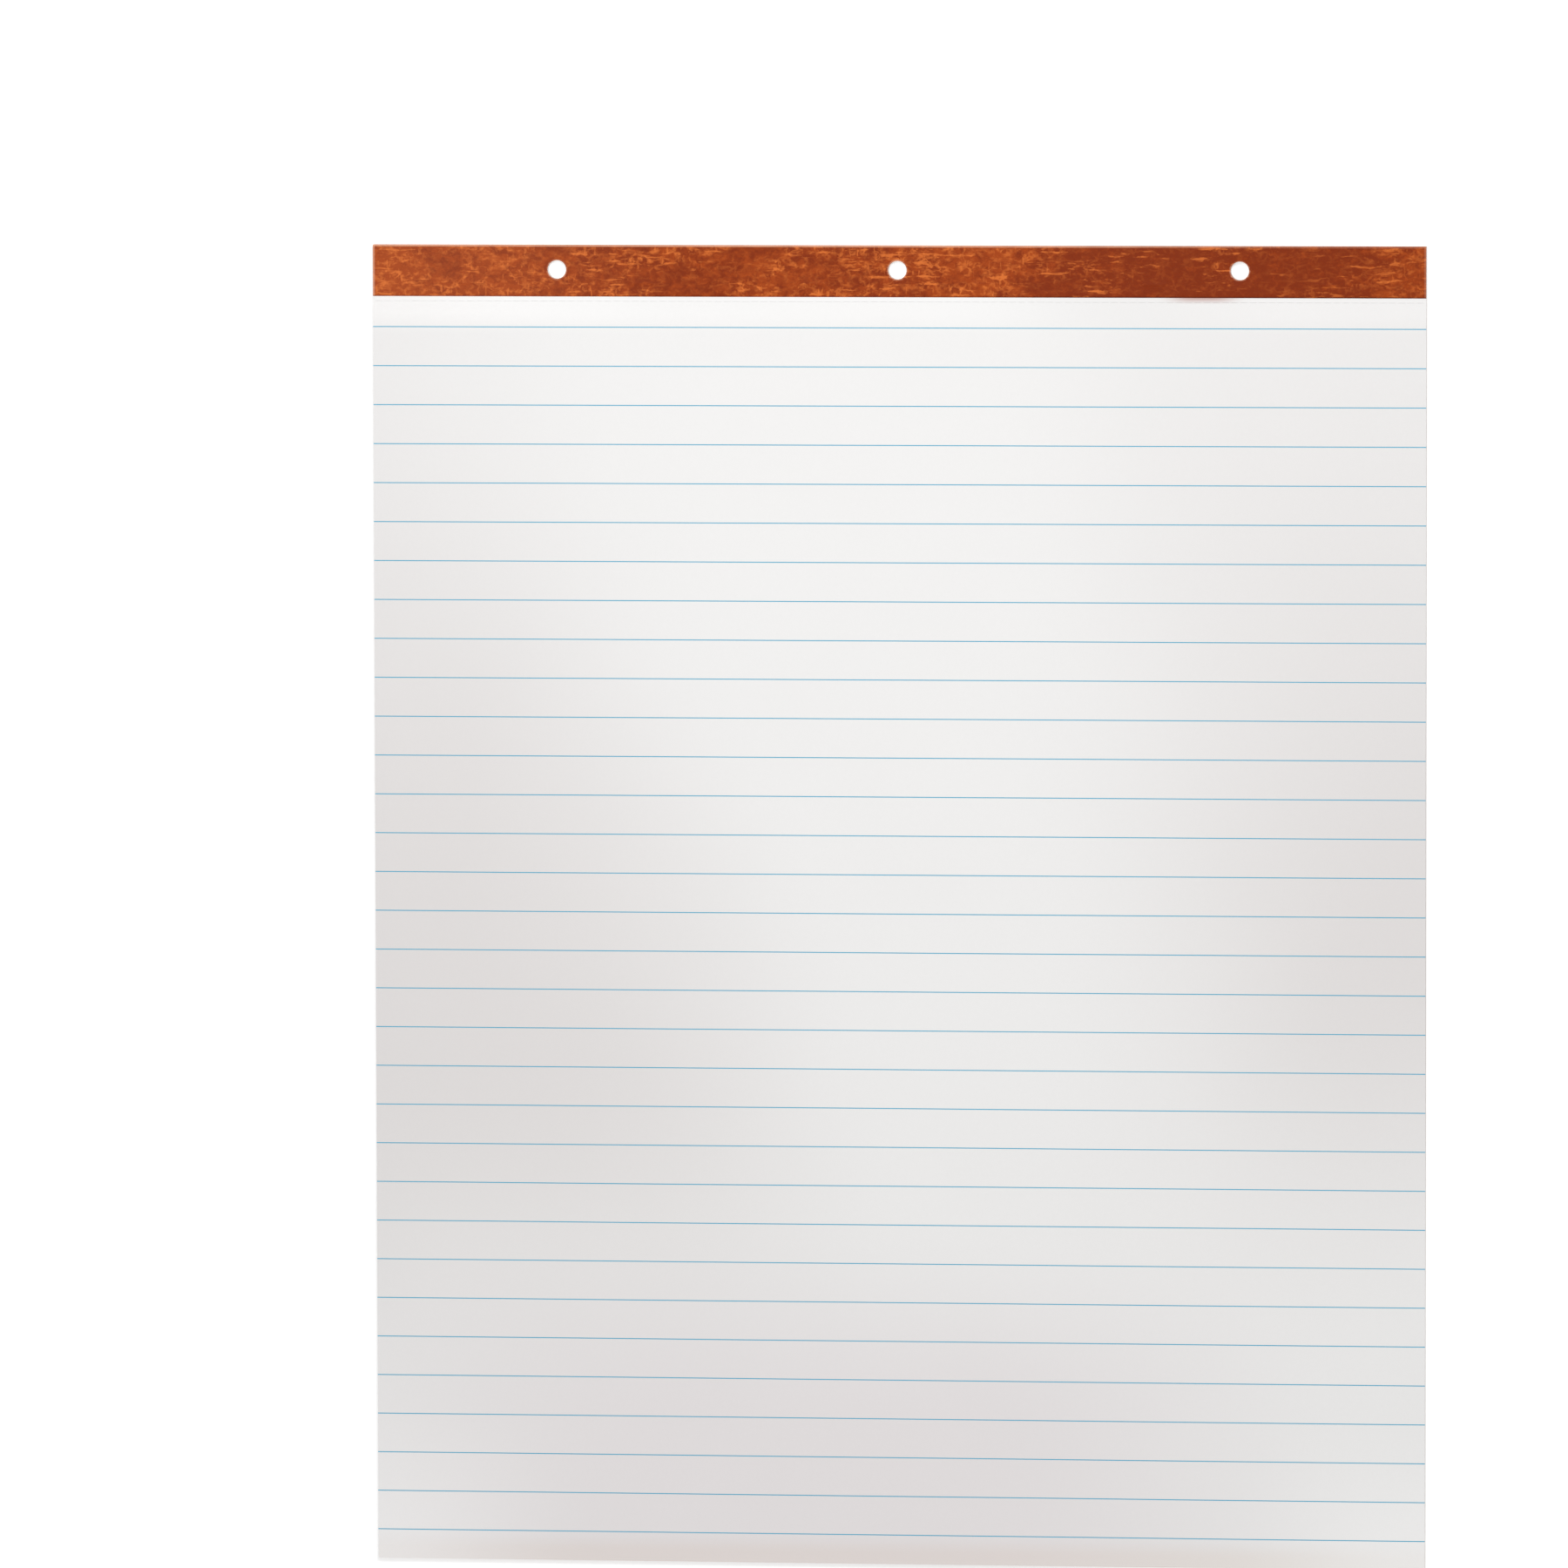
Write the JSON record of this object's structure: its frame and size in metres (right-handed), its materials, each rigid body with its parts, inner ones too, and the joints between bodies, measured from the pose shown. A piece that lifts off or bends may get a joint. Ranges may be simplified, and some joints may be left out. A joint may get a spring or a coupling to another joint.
{
  "type": "easel pad",
  "caption": "Large ruled writing pad for an easel: perforated sheets on a chipboard back, bound at the head in a folded leatherette strip punched for hanging.",
  "frame": {"origin": "centre of the pad's footprint on the surface that it lies on, back down", "axes": "+Z out of the writing face, +Y along the pad to the bound head, +X to the right as one reads it"},
  "size_m": [0.6858, 0.86, 0.0059],
  "materials": {
    "chipboard": "uncoated grey-brown chipboard with small flecks",
    "paper": "uncoated white bond paper",
    "leatherette": "embossed leatherette paper, mottled red-brown and orange",
    "stitch_wire": "plain steel stitching wire",
    "line_ink": "pale blue ruling ink"
  },
  "bodies": {
    "root": {"backboard": "chipboard", "sheets": "paper", "binding_strip": "leatherette", "stitches": "stitch_wire", "ruled_lines": "line_ink"}
  },
  "joints": []
}
